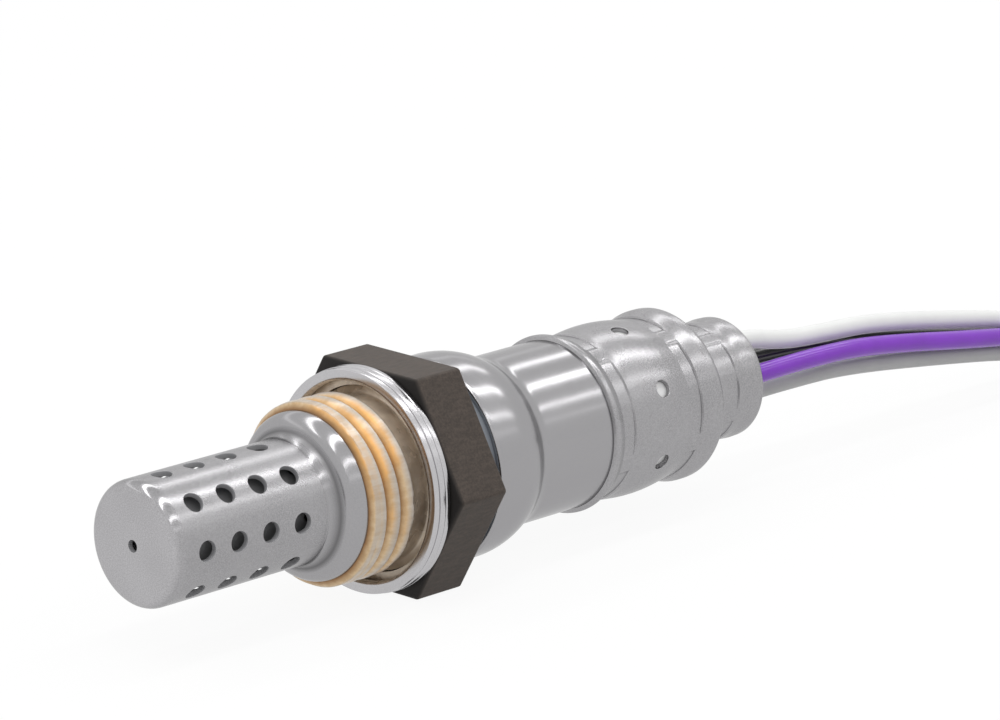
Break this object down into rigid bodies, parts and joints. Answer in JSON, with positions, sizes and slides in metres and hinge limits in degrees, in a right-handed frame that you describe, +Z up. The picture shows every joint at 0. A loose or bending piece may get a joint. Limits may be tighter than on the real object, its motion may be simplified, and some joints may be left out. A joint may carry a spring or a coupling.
{
  "type": "oxygen sensor",
  "caption": "Heated exhaust oxygen sensor: perforated tip, threaded hexagon housing with folded gasket, crimped vented rear cover and four leads, tied in a hank, to a connector.",
  "frame": {"origin": "on the sensor's axis, in the plane of the hexagon's front face where the gasket sits", "axes": "+X along the axis from the perforated tip towards the leads, +Z up with one flat of the hexagon down"},
  "size_m": [0.2295, 0.0276, 0.022],
  "materials": {
    "housing_steel": "dull, dark brown-grey, turned",
    "gasket_steel": "bright, folded sheet",
    "protector_steel": "satin, drawn",
    "inner_steel": "satin, drawn",
    "zirconia": "matt, with a grey electrode coat",
    "heater_ceramic": "matt",
    "talc": "pressed powder",
    "white_ceramic": "matt",
    "sleeve_steel": "satin, drawn",
    "cover_steel": "satin, drawn",
    "filter_plastic": "porous fluoropolymer",
    "contact_metal": "plated strip",
    "grommet_rubber": "matt",
    "white_insulation": "smooth",
    "black_insulation": "smooth, shiny",
    "purple_insulation": "smooth",
    "grey_insulation": "smooth",
    "hank_insulation": "smooth",
    "tie_plastic": "smooth",
    "connector_plastic": "fine grain",
    "seal_rubber": "smooth",
    "lock_plastic": "fine grain",
    "socket_brass": "tinned"
  },
  "bodies": {
    "root": {"housing": "housing_steel", "gasket": "gasket_steel", "outer_protector": "protector_steel", "inner_protector": "inner_steel", "sensing_element": "zirconia", "seat_washer": "inner_steel", "heater_rod": "heater_ceramic", "talc_ring": "talc", "ceramic_bush": "white_ceramic", "crimp_ring": "inner_steel", "main_sleeve": "sleeve_steel", "rear_cover": "cover_steel", "vent_filter": "filter_plastic", "terminal_insulator": "white_ceramic", "insulator_spring": "inner_steel", "heater_terminal_upper": "contact_metal", "heater_terminal_lower": "contact_metal", "signal_contact": "contact_metal", "ground_contact": "contact_metal", "grommet": "grommet_rubber", "white_wire": "white_insulation", "black_wire": "black_insulation", "purple_wire": "purple_insulation", "grey_wire": "grey_insulation", "lead_hank": "hank_insulation", "hank_tie": "tie_plastic", "connector_body": "connector_plastic", "connector_ring_seal": "seal_rubber", "connector_lock": "lock_plastic", "connector_wire_seals": "seal_rubber", "connector_sockets": "socket_brass"}
  },
  "joints": []
}
